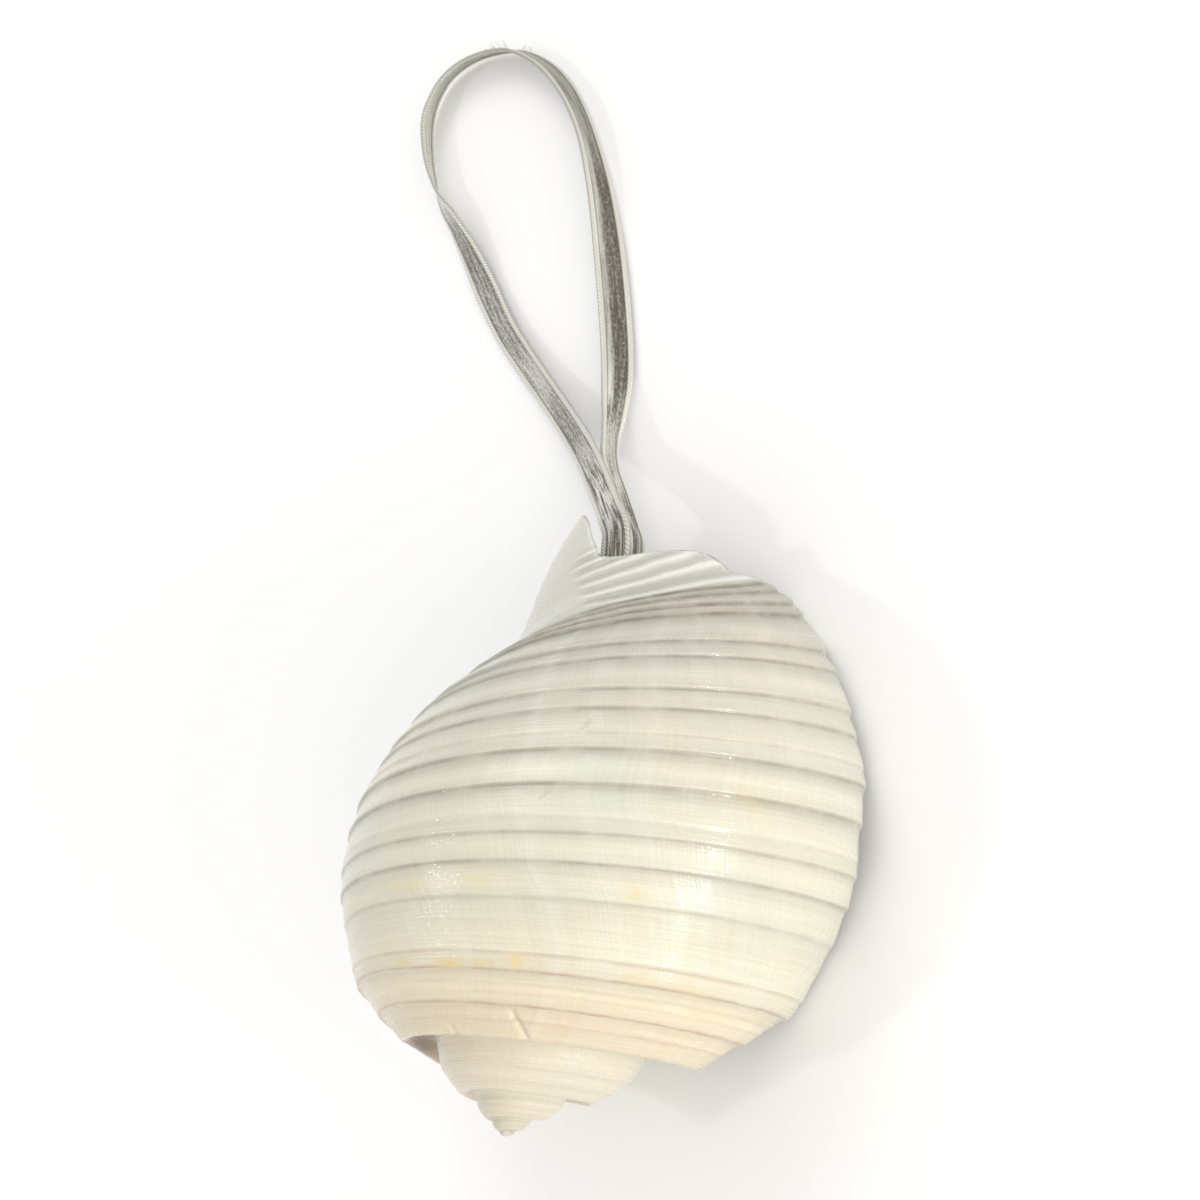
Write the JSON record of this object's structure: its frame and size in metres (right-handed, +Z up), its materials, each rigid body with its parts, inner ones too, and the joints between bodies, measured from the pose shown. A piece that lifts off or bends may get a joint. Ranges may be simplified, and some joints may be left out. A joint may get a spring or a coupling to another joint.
{
  "type": "tun shell ornament",
  "caption": "Pale spirally ribbed tun shell lying on its open side, with a flat silver ribbon loop coming out of its siphonal notch.",
  "frame": {"origin": "on the surface the shell rests on, under the middle of the shell's own bounding box", "axes": "+Z up, +Y along the shell's axis towards its siphonal end and the ribbon, +X towards the outer lip"},
  "size_m": [0.1265, 0.2337, 0.0684],
  "materials": {
    "shell": "satin, cream shell lime",
    "ribbon": "woven metallic silver"
  },
  "bodies": {
    "root": {"shell": "shell", "ribbon": "ribbon"}
  },
  "joints": []
}
